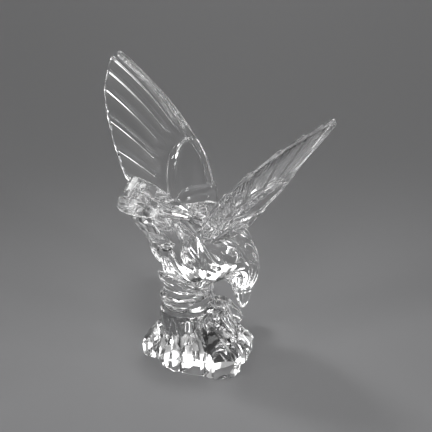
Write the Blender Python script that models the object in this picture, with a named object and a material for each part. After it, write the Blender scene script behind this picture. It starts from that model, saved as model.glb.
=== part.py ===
"""A clear crystal eagle statuette, cast as one piece.

The bird stoops head down off a rock with its wings raised in a V and its tail fanned up behind. Its own frame
is forward +X, left +Y and up +Z, with the origin under the middle of the rock's flat underside.
"""

import math

import bmesh
import bpy
from mathutils import Vector

# Driving dimensions, in millimetres until close_mesh scales them.
MM = 0.001

# Wing surface: how far each wing stands out from the middle at a height and a place fore or aft.
WING_FOOT_HEIGHT = 100.0
WING_FOOT_REACH = 15.0
WING_SPREAD = 0.695
WING_FLARE = 0.0021
WING_TWIST = 0.129

# Wing outlines in side view, as (forward, up).
SHOULDER_TO_WRIST = ((22, 92), (29, 106), (34, 119), (38, 132), (40.5, 144), (39.5, 154))
WRIST_TO_TIP = ((39.5, 154), (37.5, 166), (34, 180), (28, 195), (21, 207.5), (13, 219))
COVERT_ARC = ((34, 157), (26, 158), (17, 154), (9, 148), (2, 140), (-3, 130), (-5, 118), (-4, 106), (0, 94))
FEATHER_ENDS = (
    (13, 219), (5, 216.5), (-3, 210.5), (-10.5, 203), (-17, 195), (-23, 183),
    (-28, 169), (-31, 155), (-32, 141), (-27, 126), (-19, 113), (-8, 100),
)
# Where each feather starts along the fan, from the tip round to the body, and the last one's end.
FEATHER_EDGES = (0.0, 0.09, 0.20, 0.33, 0.48, 0.60, 0.72, 0.85, 1.0)
BLADE_ROOT_HALF = 2.0
BLADE_EDGE_HALF = 1.0
FEATHER_STEP = 1.0
FEATHER_PARTS = (0.0, 0.35, 0.7, 0.94)
BLADE_RADII = (-0.25, 0.0, 0.15, 0.35, 0.55, 0.75, 0.9, 1.0)
RAY_BOW = 5.0
# The rim's radius from the shoulder to the tip, swelling to a knot at the wrist.
RIM_RADII = (4.8, 4.8, 4.7, 4.6, 4.6, 4.8, 3.9, 3.5, 3.4, 3.2, 3.0, 2.6)
RIM_SIDES = 8
RIM_ARM_STEPS = 7
RIM_HAND_STEPS = 10
COVERT_HALF = 4.0
COVERT_EDGE_HALF = 2.6
COVERT_ROWS = 7
COVERT_COLUMNS = 13
COVERT_INSET = 0.1
# The scapulars over the foot of each wing: their top edge and their half thickness.
SCAPULAR_ARC = ((37, 127), (24, 126.5), (12, 127), (1, 122), (-8, 113), (-10, 100))
SCAPULAR_FOOT = ((24, 94), (18, 92), (12, 91), (6, 90), (0, 90), (-4, 90))
SCAPULAR_HALF = (3.0, 5.6, 5.4)
SCAPULAR_TAPER = 0.3
SCAPULAR_ROWS = 6
SCAPULAR_COLUMNS = 11

# Body, neck and head along the middle plane: (forward, up, half depth, half width) at each station.
BODY_STATIONS = (
    (-37, 123, 6, 8),
    (-30, 117, 15, 15),
    (-19, 108, 25, 19.5),
    (-6, 99, 32, 21.5),
    (9, 91, 33, 25),
    (21, 84, 28, 22),
    (30, 77, 22, 18.5),
    (37, 69, 18, 16.5),
    (41, 60, 15, 13.5),
    (42.5, 52, 12.5, 10),
    (42.5, 45, 9, 7),
    (42.8, 38, 6.8, 5),
    (43, 32, 4.8, 3.5),
    (42.5, 27.5, 2.2, 1.8),
)
BODY_SIDES = 24
BODY_RINGS_PER_STATION = 2
PLUMAGE_STATIONS = 17
PLUMAGE_LIFT = 0.7

# Swellings of the flank and the neck on each side: both ends of each in the side view, its half height
# across that line, its half thickness, and how far out its middle is.
FLANK = ((-34, 127), (-10, 71), 14.5, 13.0, 12.0)
NECK = ((-16, 112), (10, 80), 10.5, 12.5, 15.0)
POD_SIDES = 12
POD_RINGS = 6
POD_CAP = 0.97

# Face: the eye and the ridge of the brow over it, on both sides.
EYE = (12, 24.8, 93)
EYE_RADIUS = 3.3
# The eyeball's rings: how far out of the head each is, and its radius, in eye radii.
EYE_RINGS = ((-0.9, 0.5), (-0.5, 0.9), (0.2, 1.0), (0.7, 0.72), (0.95, 0.3))
BROW = ((11, 22.6, 103), (16.5, 23, 96.5), (22.5, 21.6, 89), (29, 18.8, 80.5), (35, 16, 72))
BROW_RADIUS = 2.6
BROW_FULLNESS = (0.4, 1.0, 1.1, 0.9, 0.4)

# Tail: two thick fans of feathers, one over the other, on a wedge of lower coverts.
TAIL_ROOT = (-6, 0, 117)
# Each fan: its end in the side view, half spread, droop of both sides, roll and turn of the left side down
# and back, half thickness, and its thickness across from the left side to the right.
UPPER_FAN = ((-47.5, 150.0), 32.0, 1.2, 1.2, 0.0, 6.9, (1.0, 0.92, 0.82, 0.7, 0.5, 0.1))
LOWER_FAN = ((-59.0, 138.5), 28.5, 0.0, 3.0, 0.03, 6.6, (0.65, 0.9, 1.0, 0.9, 0.6, 0.15))
GROOVE_FAN = ((-53.0, 143.0), 28.0, 1.0, 1.5, 0.02, 5.0, (0.9, 1.0, 1.0, 0.8, 0.5, 0.1))
FAN_FEATHERS = 3
# Where the columns of each tail feather stand across it.
FEATHER_COLUMNS = (0.0, 0.2, 0.5, 0.8)
FAN_ROOT_SPREAD = 0.15
FAN_ROUNDING = 0.13
FAN_NOTCH = 0.004
FEATHER_CROWN = 0.03
# Places along a fan and how thick it is at each, so that its end is rounded.
FAN_PROFILE = ((0.05, 1.0), (0.4, 1.0), (0.75, 1.0), (0.92, 1.0), (0.985, 0.98), (1.0, 0.88))
UNDER_TAIL_SIDES = 12
UNDER_TAIL_RINGS = 8
UNDER_TAIL_TOP = ((2, 110), (-56, 136))
UNDER_TAIL_BOTTOM = ((-28, 77), (-40, 100), (-57, 128))
UNDER_TAIL_HALF_WIDTH = 20.0

# Thigh column: a stack of feather tufts on the rock. Each edge between two tufts has its height on the
# column's middle line and how steeply it slopes down to the front.
COLUMN_MIDDLE = -13.5
TUFT_EDGES = ((90.0, 0.6), (66.5, 0.62), (59.0, -0.04), (46.5, 0.05), (25.0, 0.0))
# The edges run level from here forward, so that they never meet in front.
TUFT_SLOPE_END = 3.0
COLUMN_HALF_LENGTH = 20.0
COLUMN_HALF_WIDTH = 19.0
COLUMN_SIDES = 18
TUFT_PROFILE = (0.0, 0.12, 0.35, 0.6, 0.8, 0.96)
TUFT_SWELLS = (1.5, 3.0, 2.4, 1.8)
WAIST = 0.06
THIGH_CLEFT = 0.12
CLEFT_SHARPNESS = 4.0

# Rock: the corners of its flat underside as (degrees from forward, reach, rim height, shoulder height).
ROCK_CORNERS = (
    (0, 41, 12, 26), (16, 38, 8, 21), (30, 44, 13, 24), (50, 43, 14, 28), (62, 37, 9, 21), (78, 43, 14, 25),
    (98, 43, 13, 27), (112, 38, 8, 20), (128, 43, 12, 26), (147, 44, 11, 24), (157, 35, 5, 18),
    (170, 34.5, 5, 19), (184, 35, 9, 23), (199, 36, 11, 29), (218, 35, 12, 22), (236, 37, 14, 28),
    (249, 45, 15, 24), (268, 48, 14, 28), (280, 45, 14, 25), (290, 39, 9, 20), (306, 42, 12, 27),
    (324, 44, 13, 22), (343, 43, 12, 28),
)
ROCK_MIDDLE = (-2.0, 1.0)
ROCK_DRAFT = 1.0
ROCK_HUB_MIDDLE = (-9.0, 0.0)
ROCK_HUB_HEIGHT = 37.0
ROCK_HUB_RADIUS = 18.0

# Feet: the knuckle of each foot, and each toe as (degrees outward, reach, drop).
KNUCKLE = (4.0, 9.5, 46.0)
TOES = ((8, 25, 21), (62, 20, 24), (-28, 18, 22))
SHANK = ((-7, 13, 68), (-5, 13, 56), (1, 11, 44), (2, 10, 34))
SHANK_RADIUS = 5.5
SHANK_FULLNESS = (1.2, 1.0, 1.1, 0.8)
TOE_RADIUS = 4.4
# Each toe's run: how far out and down it is at each station, and its radius there.
TOE_RUN = (
    (-0.4, -0.15, 1.3), (0.05, 0.0, 1.5), (0.4, 0.12, 1.3), (0.7, 0.45, 1.05), (0.92, 0.7, 0.85),
    (1.0, 0.9, 0.55), (0.93, 1.08, 0.3),
)


def clear_scene():
    for obj in list(bpy.data.objects):
        bpy.data.objects.remove(obj, do_unlink=True)


def crystal_material():
    material = bpy.data.materials.new("clear_crystal")
    material.use_nodes = True
    shader = material.node_tree.nodes["Principled BSDF"]
    shader.inputs["Base Color"].default_value = (1.0, 1.0, 1.0, 1.0)
    shader.inputs["Metallic"].default_value = 0.0
    shader.inputs["Roughness"].default_value = 0.02
    shader.inputs["IOR"].default_value = 1.57
    shader.inputs["Transmission Weight"].default_value = 1.0
    return material


def on_curve(points, t):
    """The point at t, from 0 to 1, on the smooth curve through the points."""
    count = len(points) - 1
    place = min(max(t, 0.0), 1.0) * count
    i = min(int(place), count - 1)
    x = place - i
    p1 = points[i]
    p2 = points[i + 1]
    p0 = points[i - 1] if i > 0 else tuple(2 * a - b for a, b in zip(p1, p2))
    p3 = points[i + 2] if i + 2 <= count else tuple(2 * b - a for a, b in zip(p1, p2))
    return tuple(
        0.5 * (2 * b + (c - a) * x + (2 * a - 5 * b + 4 * c - d) * x * x + (3 * b - a - 3 * c + d) * x ** 3)
        for a, b, c, d in zip(p0, p1, p2, p3)
    )


def mix(a, b, t):
    return a + (b - a) * t


def mix_points(a, b, t):
    return tuple(mix(x, y, t) for x, y in zip(a, b))


def close_mesh(name, points, faces):
    """A closed mesh object in metres from points in millimetres, facing out."""
    bm = bmesh.new()
    vertices = [bm.verts.new(Vector(point) * MM) for point in points]
    for face in faces:
        bm.faces.new([vertices[i] for i in face])
    bmesh.ops.recalc_face_normals(bm, faces=bm.faces)
    bmesh.ops.triangulate(bm, faces=[face for face in bm.faces if len(face.verts) > 4])
    mesh = bpy.data.meshes.new(name)
    bm.to_mesh(mesh)
    bm.free()
    obj = bpy.data.objects.new(name, mesh)
    bpy.context.scene.collection.objects.link(obj)
    return obj


def loft(name, rings):
    """A closed skin over rings of equal count, capped at both ends."""
    count = len(rings[0])
    points = [point for ring in rings for point in ring]
    faces = [tuple(range(count)), tuple(range(len(points) - count, len(points)))[::-1]]
    for i in range(len(rings) - 1):
        for j in range(count):
            k = (j + 1) % count
            faces.append((i * count + j, i * count + k, (i + 1) * count + k, (i + 1) * count + j))
    return close_mesh(name, points, faces)


def plate(name, rows, half):
    """A closed plate about a grid of middle points; half gives its half thickness vector at (i, j)."""
    high = len(rows)
    wide = len(rows[0])
    points = []
    for side in (1, -1):
        for i, row in enumerate(rows):
            for j, point in enumerate(row):
                offset = half(i, j)
                points.append(tuple(p + side * o for p, o in zip(point, offset)))
    faces = []
    for i in range(high - 1):
        for j in range(wide - 1):
            quad = (i * wide + j, i * wide + j + 1, (i + 1) * wide + j + 1, (i + 1) * wide + j)
            faces.append(quad)
            faces.append(tuple(k + high * wide for k in quad)[::-1])
    edge = [(0, j) for j in range(wide)] + [(i, wide - 1) for i in range(1, high)]
    edge += [(high - 1, j) for j in range(wide - 2, -1, -1)] + [(i, 0) for i in range(high - 2, 0, -1)]
    for a, b in zip(edge, edge[1:] + edge[:1]):
        top_a = a[0] * wide + a[1]
        top_b = b[0] * wide + b[1]
        faces.append((top_b, top_a, top_a + high * wide, top_b + high * wide))
    return close_mesh(name, points, faces)


def wing_reach(forward, up):
    rise = up - WING_FOOT_HEIGHT
    return WING_FOOT_REACH + WING_SPREAD * rise + WING_FLARE * rise * rise - WING_TWIST * forward


def wing_point(side, forward, up):
    return (forward, side * wing_reach(forward, up), up)


def wing_normal(side, forward, up):
    """The unit normal of the wing surface."""
    rise = up - WING_FOOT_HEIGHT
    slope = WING_SPREAD + 2 * WING_FLARE * rise
    return Vector((WING_TWIST, side, -slope)).normalized()


def feather_place(a, r):
    """Side view place on the feathered blade: a runs over the feathers, r from the coverts to the ends."""
    start = on_curve(COVERT_ARC, a)
    end = on_curve(FEATHER_ENDS, a)
    forward, up = mix_points(start, end, r)
    bow = RAY_BOW * (1 - a) ** 2 * 4 * r * (1 - r)
    across = Vector((end[1] - start[1], start[0] - end[0])).normalized()
    return forward + across.x * bow, up + across.y * bow


def feather_columns():
    """(a, how far through its feather) along the fan, with a sharp step where a feather ends."""
    columns = []
    for start, end in zip(FEATHER_EDGES, FEATHER_EDGES[1:]):
        for part in FEATHER_PARTS:
            columns.append((mix(start, end, part), part))
    columns.append((1.0, 1.0))
    return columns


def blade(side):
    columns = feather_columns()
    rows = []
    thickness = []
    for r in BLADE_RADII:
        row = []
        for a, part in columns:
            forward, up = feather_place(a, r)
            row.append(wing_point(side, forward, up))
            half = mix(BLADE_ROOT_HALF, BLADE_EDGE_HALF, max(r, 0.0))
            half += FEATHER_STEP * (1 - part) * min(1.0, max(r, 0.0) * 4)
            thickness.append(wing_normal(side, forward, up) * half)
        rows.append(row)
    wide = len(columns)
    return plate("blade", rows, lambda i, j: thickness[i * wide + j])


def rim(side):
    """The thick leading edge, as one tapering rod from the shoulder over the wrist to the tip."""
    route = [on_curve(SHOULDER_TO_WRIST, i / RIM_ARM_STEPS) for i in range(RIM_ARM_STEPS)]
    route += [on_curve(WRIST_TO_TIP, i / RIM_HAND_STEPS) for i in range(RIM_HAND_STEPS + 1)]
    rings = []
    count = len(route)
    for i, place in enumerate(route):
        t = i / (count - 1)
        radius = on_curve([(full,) for full in RIM_RADII], t)[0]
        before = route[max(i - 1, 0)]
        after = route[min(i + 1, count - 1)]
        along = Vector((after[0] - before[0], after[1] - before[1])).normalized()
        inward = Vector((-along.y, along.x))
        forward = place[0] + inward.x * radius
        up = place[1] + inward.y * radius
        middle = Vector(wing_point(side, forward, up))
        normal = wing_normal(side, forward, up)
        edge = Vector(wing_point(side, forward - inward.x, up - inward.y)) - middle
        edge.normalize()
        ring = []
        for k in range(RIM_SIDES):
            angle = 2 * math.pi * k / RIM_SIDES
            ring.append(middle + edge * radius * math.cos(angle) + normal * radius * math.sin(angle))
        rings.append(ring)
    return loft("rim", rings)


def coverts(side):
    """The smooth shield over the arm, thickest in its middle."""
    rows = []
    thickness = []
    wide = COVERT_COLUMNS
    for i in range(COVERT_ROWS):
        r = i / (COVERT_ROWS - 1)
        row = []
        for j in range(wide):
            a = j / (wide - 1)
            arm = on_curve(SHOULDER_TO_WRIST, 1 - a)
            arc = on_curve(COVERT_ARC, a)
            inner = mix_points(arm, arc, COVERT_INSET)
            forward, up = mix_points(inner, arc, r)
            row.append(wing_point(side, forward, up))
            swell = math.sin(math.pi * r) ** 0.5 if 0 < r < 1 else 0.0
            half = mix(COVERT_EDGE_HALF, COVERT_HALF, swell)
            thickness.append(wing_normal(side, forward, up) * half)
        rows.append(row)
    return plate("coverts", rows, lambda i, j: thickness[i * wide + j])


def scapulars(side):
    """The short feathers over the foot of the wing, a thick step over the coverts."""
    rows = []
    thickness = []
    halves = [(half,) for half in SCAPULAR_HALF]
    for i in range(SCAPULAR_ROWS):
        r = i / (SCAPULAR_ROWS - 1)
        row = []
        for j in range(SCAPULAR_COLUMNS):
            a = j / (SCAPULAR_COLUMNS - 1)
            forward, up = mix_points(on_curve(SCAPULAR_FOOT, a), on_curve(SCAPULAR_ARC, a), r)
            row.append(wing_point(side, forward, up))
            edge = 1 - SCAPULAR_TAPER * abs(2 * a - 1) ** 3
            thickness.append(wing_normal(side, forward, up) * on_curve(halves, r)[0] * edge)
        rows.append(row)
    return plate("scapulars", rows, lambda i, j: thickness[i * SCAPULAR_COLUMNS + j])


def body():
    rings = []
    steps = BODY_RINGS_PER_STATION * (len(BODY_STATIONS) - 1)
    for i in range(steps + 1):
        t = i / steps
        forward, up, deep, wide = on_curve(BODY_STATIONS, t)
        before = on_curve(BODY_STATIONS, t - 0.02)
        after = on_curve(BODY_STATIONS, t + 0.02)
        along = Vector((after[0] - before[0], 0, after[1] - before[1])).normalized()
        across = Vector((-along.z, 0, along.x))
        ring = []
        middle = Vector((forward, 0, up))
        for k in range(BODY_SIDES):
            angle = 2 * math.pi * k / BODY_SIDES
            lift = PLUMAGE_LIFT * (-1) ** (i + k) if 0 < i < PLUMAGE_STATIONS else 0.0
            reach = across * (deep + lift) * math.cos(angle) + Vector((0, (wide + lift) * math.sin(angle), 0))
            ring.append(middle + reach)
        rings.append(ring)
    return loft("body", rings)


def tail_fan(end, spread, droop, roll, turn, half, across):
    """A thick fan of feathers side by side, each crowned and round ended."""
    root = Vector(TAIL_ROOT)
    tip = Vector((end[0], 0, end[1]))
    over = (tip - root).cross(Vector((0, 1, 0))).normalized()
    if over.z < 0:
        over = -over
    columns = [(k + part) / FAN_FEATHERS for k in range(FAN_FEATHERS) for part in FEATHER_COLUMNS] + [1.0]
    fullness_across = [(full,) for full in across]
    rows = []
    halves = []
    for t, fullness in FAN_PROFILE:
        row = []
        for column in columns:
            side = 1 - 2 * column
            crown = 1 - (2 * ((column * FAN_FEATHERS) % 1.0) - 1) ** 2 if column < 1 else 0.0
            notch = FAN_NOTCH * (1 - crown) if t > 0.95 else 0.0
            place = root.lerp(tip, t * (1 - FAN_ROUNDING * side * side + turn * side) - notch)
            width = mix(FAN_ROOT_SPREAD, 1.0, t) * spread
            row.append(place + Vector((0, side * width, 0)) - over * (droop * side + roll) * side * t)
            taper = on_curve(fullness_across, column)[0]
            halves.append(over * half * mix(1 - FEATHER_CROWN, 1.0, crown) * fullness * taper)
        rows.append(row)
    wide = len(columns)
    return plate("tail_fan", rows, lambda i, j: halves[i * wide + j])


def under_tail():
    """The wedge of lower coverts that carries the tail."""
    rings = []
    for i in range(UNDER_TAIL_RINGS + 1):
        t = i / UNDER_TAIL_RINGS
        top = on_curve(UNDER_TAIL_TOP, t)
        bottom = on_curve(UNDER_TAIL_BOTTOM, t)
        middle = Vector(((top[0] + bottom[0]) / 2, 0, (top[1] + bottom[1]) / 2))
        across = Vector((top[0] - bottom[0], 0, top[1] - bottom[1])) / 2
        ring = []
        for k in range(UNDER_TAIL_SIDES):
            angle = 2 * math.pi * k / UNDER_TAIL_SIDES
            sideways = Vector((0, UNDER_TAIL_HALF_WIDTH * math.sin(angle), 0))
            ring.append(middle + across * math.cos(angle) + sideways)
        rings.append(ring)
    return loft("under_tail", rings)


def tail():
    return [tail_fan(*UPPER_FAN), tail_fan(*GROOVE_FAN), tail_fan(*LOWER_FAN), under_tail()]


def tuft_swell(tuft, part):
    """How far a tuft stands out at a part of its height: full near its top, drawn in at its end."""
    return TUFT_SWELLS[tuft] * math.cos(math.pi * max(part - 0.12, 0.0))


def column():
    """The thighs: tufts slipping out from under one another, parted by a cleft in front."""
    rings = []
    for tuft in range(len(TUFT_SWELLS)):
        for part in TUFT_PROFILE:
            height, slope = mix_points(TUFT_EDGES[tuft], TUFT_EDGES[tuft + 1], part)
            waist = 1 - WAIST * math.sin(math.pi * (tuft + part) / len(TUFT_SWELLS))
            length = (COLUMN_HALF_LENGTH + tuft_swell(tuft, part)) * waist
            width = (COLUMN_HALF_WIDTH + tuft_swell(tuft, part)) * waist
            ring = []
            for k in range(COLUMN_SIDES):
                angle = 2 * math.pi * k / COLUMN_SIDES
                cleft = 1 - THIGH_CLEFT * math.exp(-((math.cos(angle) - 1) * CLEFT_SHARPNESS) ** 2)
                forward = length * cleft * math.cos(angle)
                fall = slope * min(forward, TUFT_SLOPE_END)
                ring.append((COLUMN_MIDDLE + forward, width * math.sin(angle), height - fall))
            rings.append(ring)
    return loft("column", rings)


def rock():
    """A faceted mound whose shoulder rises and falls from corner to corner."""
    foot, rim_ring, shoulder, hub = [], [], [], []
    shoulder_middle = mix_points(ROCK_MIDDLE, ROCK_HUB_MIDDLE, 0.5)
    for degrees, reach, rim_height, shoulder_height in ROCK_CORNERS:
        angle = math.radians(degrees)
        ahead = (math.cos(angle), math.sin(angle))

        def at(middle, radius, height):
            return (middle[0] + radius * ahead[0], middle[1] + radius * ahead[1], height)

        foot.append(at(ROCK_MIDDLE, reach - ROCK_DRAFT, 0.0))
        rim_ring.append(at(ROCK_MIDDLE, reach, rim_height))
        shoulder.append(at(shoulder_middle, mix(reach, ROCK_HUB_RADIUS, 0.5), shoulder_height))
        hub.append(at(ROCK_HUB_MIDDLE, ROCK_HUB_RADIUS, ROCK_HUB_HEIGHT))
    return loft("rock", [foot, rim_ring, shoulder, hub])


def tube(name, route, radii, side, sides=8):
    """A round tube along a route that stays square to the side vector."""
    rings = []
    last = len(route) - 1
    for i, (place, radius) in enumerate(zip(route, radii)):
        along = (route[min(i + 1, last)] - route[max(i - 1, 0)]).normalized()
        over = side.cross(along)
        ring = []
        for k in range(sides):
            angle = 2 * math.pi * k / sides
            ring.append(place + side * radius * math.cos(angle) + over * radius * math.sin(angle))
        rings.append(ring)
    return loft(name, rings)


def pod(name, rear, front, across, thick, out, side):
    """A swelling like a flattened egg, laid along a line in the side view."""
    start = Vector((rear[0], side * out, rear[1]))
    end = Vector((front[0], side * out, front[1]))
    along = (end - start).normalized()
    over = along.cross(Vector((0, 1, 0)))
    rings = []
    for i in range(POD_RINGS + 1):
        place = POD_CAP * math.cos(math.pi * (1 - i / POD_RINGS))
        full = math.sqrt(1 - place * place)
        middle = start.lerp(end, (1 + place) / 2)
        ring = []
        for k in range(POD_SIDES):
            angle = 2 * math.pi * k / POD_SIDES
            sideways = Vector((0, thick * full * math.sin(angle), 0))
            ring.append(middle + over * across * full * math.cos(angle) + sideways)
        rings.append(ring)
    return loft(name, rings)


def swellings():
    """Flank and neck, which stand out from the body on each side."""
    return [pod("flank", *FLANK, side) for side in (1, -1)] + [pod("neck", *NECK, side) for side in (1, -1)]


def face():
    """A round eye under a heavy brow on each side of the head."""
    pieces = []
    for side in (1, -1):
        middle = Vector((EYE[0], side * EYE[1], EYE[2]))
        route = [middle + Vector((0, side * EYE_RADIUS * out, 0)) for out, _ in EYE_RINGS]
        radii = [EYE_RADIUS * full for _, full in EYE_RINGS]
        pieces.append(tube("eye", route, radii, Vector((1, 0, 0))))
        route = [Vector((x, side * y, z)) for x, y, z in BROW]
        radii = [BROW_RADIUS * full for full in BROW_FULLNESS]
        pieces.append(tube("brow", route, radii, Vector((0, 1, 0))))
    return pieces


def feet():
    """A short leg a side and three toes, each from a high knuckle down to a hooked claw on the rock."""
    toes = []
    for side in (1, -1):
        leg = [Vector((x, side * y, z)) for x, y, z in SHANK]
        toes.append(tube("shank", leg, [SHANK_RADIUS * full for full in SHANK_FULLNESS], Vector((0, 1, 0))))
        for heading, reach, drop in TOES:
            turn = math.radians(side * heading)
            ahead = Vector((math.cos(turn), math.sin(turn), 0))
            knuckle = Vector((KNUCKLE[0], side * KNUCKLE[1], KNUCKLE[2]))
            route = [knuckle + ahead * reach * out - Vector((0, 0, drop * down)) for out, down, _ in TOE_RUN]
            radii = [TOE_RADIUS * full for _, _, full in TOE_RUN]
            toes.append(tube("toe", route, radii, ahead.cross(Vector((0, 0, 1)))))
    return toes


def build():
    clear_scene()
    eagle = body()
    eagle.name = "crystal_eagle"
    eagle.data.materials.append(crystal_material())
    pieces = [rock(), column()] + tail() + swellings() + face() + feet()
    for side in (1, -1):
        pieces += [blade(side), rim(side), coverts(side), scapulars(side)]
    forms = bpy.data.collections.new("cast_forms")
    bpy.context.scene.collection.children.link(forms)
    for piece in pieces:
        bpy.context.scene.collection.objects.unlink(piece)
        forms.objects.link(piece)
        piece.hide_render = True
        piece.display_type = "WIRE"
    union = eagle.modifiers.new("cast_as_one", "BOOLEAN")
    union.operation = "UNION"
    union.solver = "EXACT"
    union.operand_type = "COLLECTION"
    union.collection = forms


build()
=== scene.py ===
"""The clear crystal eagle as it looks: the cut casting, its glass, a pale floor, soft light and a camera."""

import math

import bmesh
import bpy
from mathutils import Matrix, Vector


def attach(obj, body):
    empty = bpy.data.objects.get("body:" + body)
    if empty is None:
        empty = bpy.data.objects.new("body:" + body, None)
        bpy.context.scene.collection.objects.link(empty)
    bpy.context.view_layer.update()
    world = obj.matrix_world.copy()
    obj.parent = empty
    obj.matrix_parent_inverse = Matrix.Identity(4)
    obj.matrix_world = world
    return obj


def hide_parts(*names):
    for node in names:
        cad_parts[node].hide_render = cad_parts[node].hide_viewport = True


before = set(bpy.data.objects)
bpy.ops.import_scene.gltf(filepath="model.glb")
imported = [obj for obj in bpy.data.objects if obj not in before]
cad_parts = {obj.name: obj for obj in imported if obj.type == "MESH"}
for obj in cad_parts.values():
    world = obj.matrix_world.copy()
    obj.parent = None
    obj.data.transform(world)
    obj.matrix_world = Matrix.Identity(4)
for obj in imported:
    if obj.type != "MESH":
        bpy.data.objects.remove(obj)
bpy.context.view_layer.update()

# Driving dimensions of the casting, in millimetres, as in the solid.
MM = 0.001

WING_FOOT_HEIGHT = 100.0
WING_FOOT_REACH = 15.0
WING_SPREAD = 0.695
WING_FLARE = 0.0021
WING_TWIST = 0.129

SHOULDER_TO_WRIST = ((22, 92), (29, 106), (34, 119), (38, 132), (40.5, 144), (39.5, 154))
WRIST_TO_TIP = ((39.5, 154), (37.5, 166), (34, 180), (28, 195), (21, 207.5), (13, 219))
COVERT_ARC = ((34, 157), (26, 158), (17, 154), (9, 148), (2, 140), (-3, 130), (-5, 118), (-4, 106), (0, 94))
FEATHER_ENDS = (
    (13, 219), (5, 216.5), (-3, 210.5), (-10.5, 203), (-17, 195), (-23, 183),
    (-28, 169), (-31, 155), (-32, 141), (-27, 126), (-19, 113), (-8, 100),
)
FEATHER_EDGES = (0.0, 0.09, 0.20, 0.33, 0.48, 0.60, 0.72, 0.85, 1.0)
FEATHER_PARTS = (
    0.0, 0.03, 0.06, 0.1, 0.15, 0.22, 0.3, 0.4, 0.5, 0.6, 0.7, 0.78, 0.84, 0.88, 0.91, 0.94, 0.97,
)
BLADE_ROWS = 44
BLADE_START = -0.25
BLADE_ROOT_HALF = 2.0
BLADE_EDGE_HALF = 1.0
RAY_BOW = 5.0
# How closely the blade's rows lie towards its end, and how it thins there.
BLADE_PACKING = 0.9
BLADE_END_THINNING = 0.45
BLADE_END_FROM = 0.975
# Each feather's step over the next: its height, how soon it rises from the root, how hollow its face is,
# where its far side rises to the next crest, and the crest's own height, place and half width.
FEATHER_STEP = 1.0
STEP_ONSET = 4.0
FEATHER_HOLLOW = 1.6
FEATHER_RISE_FROM = 0.82
FEATHER_CREST = 0.25
CREST_PLACE = 0.02
CREST_HALF = 0.08
# The rim's radius from the shoulder to the tip, swelling to a knot at the wrist.
RIM_RADII = (4.8, 4.8, 4.7, 4.6, 4.6, 4.8, 3.9, 3.5, 3.4, 3.2, 3.0, 2.6)
# How thick the rim is on the hand, as a share of its width, and where along the rim it turns so thin.
RIM_HAND_THICKNESS = 0.7
RIM_HAND_START = (0.5, 0.54)
# The wrist's place along the rim.
RIM_WRIST_PLACE = 0.41
RIM_SIDES = 40
RIM_ARM_STEPS = 64
RIM_HAND_STEPS = 240
# The grooves between its rods: their depth as a share of the radius, then how far towards the wing's faces
# they lie and their half widths, for the two on each face of the arm and the one on each face of the hand.
RIM_GROOVE = 0.28
RIM_ARM_GROOVES = (0.88, 0.08)
RIM_HAND_GROOVE = (1.0, 0.12)
RIM_GROOVE_FADE = (0.55, 0.9)
# The hammering on the hand: its depth as a share of the radius, its beads along and around, their swirl.
RIM_BEADING = 0.11
RIM_BEADS = (112, 7)
RIM_BEAD_SWIRL = 9.0
COVERT_HALF = 4.0
COVERT_EDGE_HALF = 2.6
COVERT_ROWS = 31
COVERT_COLUMNS = 49
COVERT_INSET = 0.1
# The bead along the shield's upper edge and the crease inside it, with their places.
COVERT_BEAD = 1.1
COVERT_CREASE = 0.6
COVERT_BEAD_PLACE = 0.93
COVERT_CREASE_PLACE = 0.82
COVERT_LINE_HALF = 0.05
COVERT_BEAD_FADE = (0.3, 0.55)
# The scapulars over the foot of each wing: their top edge and their half thickness.
SCAPULAR_ARC = ((37, 127), (24, 126.5), (12, 127), (1, 122), (-8, 113), (-10, 100))
SCAPULAR_FOOT = ((24, 94), (18, 92), (12, 91), (6, 90), (0, 90), (-4, 90))
SCAPULAR_HALF = (3.0, 5.6, 5.4)
SCAPULAR_TAPER = 0.3
SCAPULAR_ROWS = 40
SCAPULAR_COLUMNS = 60
SCAPULAR_EDGE_THINNING = 0.25
SCAPULAR_EDGE_FROM = 0.96
# The line cut along their edge: its depth, place, half width and where it fades out.
SCAPULAR_LINE = 0.35
SCAPULAR_LINE_PLACE = 0.84
SCAPULAR_LINE_HALF = 0.025
SCAPULAR_LINE_FADE = (0.75, 0.95)

BODY_STATIONS = (
    (-37, 123, 6, 8),
    (-30, 117, 15, 15),
    (-19, 108, 25, 19.5),
    (-6, 99, 32, 21.5),
    (9, 91, 33, 25),
    (21, 84, 28, 22),
    (30, 77, 22, 18.5),
    (37, 69, 18, 16.5),
    (41, 60, 15, 13.5),
    (42.5, 52, 12.5, 10),
    (42.5, 45, 9, 7),
    (42.8, 38, 6.8, 5),
    (43, 32, 4.8, 3.5),
    (42.5, 27.5, 2.2, 1.8),
)
BODY_SIDES = 144
BODY_RINGS_PER_STATION = 10
# How far before and behind a ring its direction is read.
BODY_LOOK = 0.02
# A feather's round end as a share of its length, its hollow, and the rounding of its free edge.
SCALLOP_ROUND = 0.8
SCALLOP_HOLLOW = 1.3
SCALLOP_LIP = 0.6
SCALLOP_LIP_FROM = 0.8
PLUMAGE_ROWS = 5
PLUMAGE_ACROSS = 12
PLUMAGE_DEPTH = 1.2
PLUMAGE_FADE = 0.12
PLUMAGE_END = 0.36
# The long strands of the nape and the crown: where they start and end along the body, and how they sway.
NAPE_STRANDS = 14
NAPE_DEPTH = 1.2
NAPE_START = (0.3, 0.42)
NAPE_END = (0.68, 0.75)
NAPE_SWAY = 1.5
NAPE_SWAY_RATE = 9.0
# The middle level of a row of rounded strands or flutes.
STRAND_LEVEL = 0.6
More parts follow.
